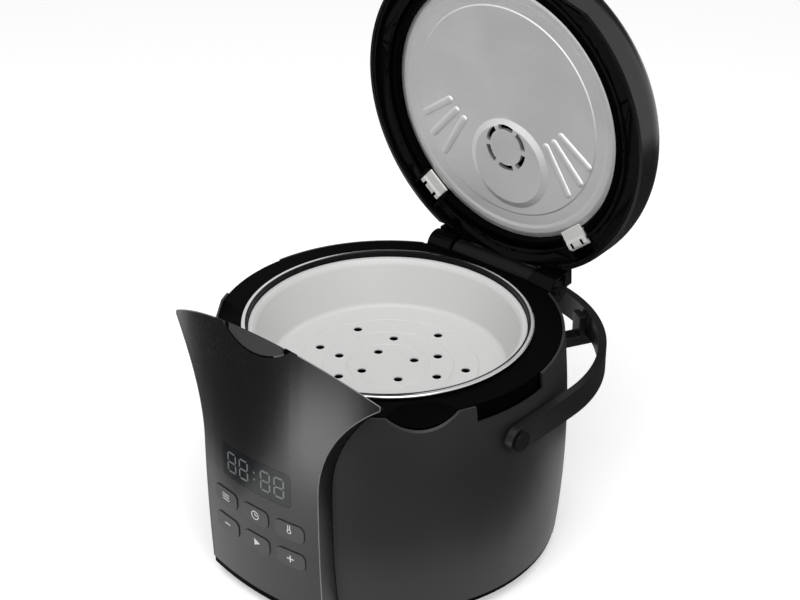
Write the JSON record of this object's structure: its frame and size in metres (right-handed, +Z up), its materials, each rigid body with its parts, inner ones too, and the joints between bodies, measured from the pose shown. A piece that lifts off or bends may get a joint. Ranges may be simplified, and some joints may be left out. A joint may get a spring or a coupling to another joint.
{
  "type": "multicooker",
  "caption": "Round electric multicooker with an arched front panel, a hinged lid standing open, a lift-out pot, a steam basket and a carrying handle.",
  "frame": {"origin": "on the pot's axis, on the surface that the feet stand on", "axes": "+Z up, -Y towards the front panel, +X to the right seen from the front"},
  "size_m": [0.308, 0.3608, 0.4597],
  "materials": {
    "shell_grey": "satin dark grey coating",
    "gloss_black": "polished black",
    "black_plastic": "fine satin black",
    "dark_plastic": "satin dark grey",
    "handle_black": "satin black",
    "release_grey": "semi-gloss grey",
    "button_grey": "satin grey",
    "display_glass": "dark clear window",
    "clip_white": "off-white moulding",
    "basket_white": "light grey moulding",
    "rubber": "matt black",
    "steel": "plain steel",
    "pot_aluminium": "satin aluminium with a bright rim",
    "plate_aluminium": "satin sheet",
    "cast_aluminium": "turned casting",
    "well_metal": "drawn sheet",
    "heater_steel": "heat-tinted tube",
    "fuse_ceramic": "glazed ceramic",
    "board": "green laminate"
  },
  "bodies": {
    "base": {"base_cover": "black_plastic", "foot_pads": "rubber", "base_screws": "steel", "outer_shell": "shell_grey", "top_ring": "black_plastic", "hinge_barrel": "dark_plastic", "hinge_pin": "steel", "control_panel": "gloss_black", "visor_body": "gloss_black", "display_window": "display_glass", "latch_pin": "steel", "inner_well": "well_metal", "heating_plate": "cast_aluminium", "heater_element": "heater_steel", "sensor_bracket": "steel", "thermal_fuse": "fuse_ceramic", "control_board": "board", "power_board": "board", "power_inlet": "black_plastic", "inlet_pins": "steel", "handle_pivots": "dark_plastic", "handle_rests": "handle_black"},
    "lid": {"lid_cover": "gloss_black", "lid_liner": "black_plastic", "inner_lid_plate": "plate_aluminium", "lid_gasket": "rubber", "lid_catch": "steel", "steam_vent": "black_plastic"},
    "pot": {"inner_pot": "pot_aluminium", "pot_base": "pot_aluminium"},
    "basket": {"steam_basket": "basket_white"},
    "handle": {"handle": "handle_black"},
    "release": {"release_button": "release_grey", "latch_lever": "dark_plastic"},
    "sensor": {"temperature_sensor": "plate_aluminium"},
    "left_clip": {"clip_left": "clip_white"},
    "right_clip": {"clip_right": "clip_white"},
    "vent_cap": {"steam_cap": "black_plastic"},
    "menu": {"menu_button": "button_grey"},
    "timer": {"timer_button": "button_grey"},
    "temperature": {"temperature_button": "button_grey"},
    "minus": {"minus_button": "button_grey"},
    "start": {"start_button": "button_grey"},
    "plus": {"plus_button": "button_grey"}
  },
  "joints": [
    {"name": "lid_hinge", "type": "hinge", "parent": "base", "child": "lid", "pos_m": [0, 0.1376, 0.1862], "axis": [1, 0, 0], "range_deg": [0, 86.4], "stiffness_Nm_per_rad": 1, "springref_deg": -20.05},
    {"name": "pot_lift", "type": "slide", "parent": "base", "child": "pot", "axis": [0, 0, -1], "range_m": [-0.16, 0]},
    {"name": "basket_lift", "type": "slide", "parent": "pot", "child": "basket", "axis": [0, 0, -1], "range_m": [-0.06, 0]},
    {"name": "handle_swing", "type": "hinge", "parent": "base", "child": "handle", "pos_m": [0, -0.022, 0.156], "axis": [1, 0, 0], "range_deg": [0, 5]},
    {"name": "release_press", "type": "hinge", "parent": "base", "child": "release", "pos_m": [0, -0.1415, 0.2265], "axis": [-1, 0, 0], "range_deg": [0, 7], "stiffness_Nm_per_rad": 0.6, "springref_deg": -5.73},
    {"name": "sensor_press", "type": "slide", "parent": "base", "child": "sensor", "axis": [0, 0, -1], "range_m": [0, 0.002], "stiffness_N_per_m": 900, "springref_m": -0.003},
    {"name": "left_clip_slide", "type": "slide", "parent": "lid", "child": "left_clip", "axis": [-0.6428, 0.0481, -0.7645], "range_m": [0, 0.003], "stiffness_N_per_m": 800, "springref_m": -0.001},
    {"name": "right_clip_slide", "type": "slide", "parent": "lid", "child": "right_clip", "axis": [0.6428, 0.0481, -0.7645], "range_m": [0, 0.003], "stiffness_N_per_m": 800, "springref_m": -0.001},
    {"name": "vent_cap_pull", "type": "slide", "parent": "lid", "child": "vent_cap", "axis": [0, 0.998, 0.0628], "range_m": [0, 0.014]},
    {"name": "menu_press", "type": "slide", "parent": "base", "child": "menu", "axis": [0, 1, 0], "range_m": [0, 0.0015], "stiffness_N_per_m": 700, "springref_m": -0.001},
    {"name": "timer_press", "type": "slide", "parent": "base", "child": "timer", "axis": [0, 1, 0], "range_m": [0, 0.0015], "stiffness_N_per_m": 700, "springref_m": -0.001},
    {"name": "temperature_press", "type": "slide", "parent": "base", "child": "temperature", "axis": [0, 1, 0], "range_m": [0, 0.0015], "stiffness_N_per_m": 700, "springref_m": -0.001},
    {"name": "minus_press", "type": "slide", "parent": "base", "child": "minus", "axis": [0, 1, 0], "range_m": [0, 0.0015], "stiffness_N_per_m": 700, "springref_m": -0.001},
    {"name": "start_press", "type": "slide", "parent": "base", "child": "start", "axis": [0, 1, 0], "range_m": [0, 0.0015], "stiffness_N_per_m": 700, "springref_m": -0.001},
    {"name": "plus_press", "type": "slide", "parent": "base", "child": "plus", "axis": [0, 1, 0], "range_m": [0, 0.0015], "stiffness_N_per_m": 700, "springref_m": -0.001}
  ]
}
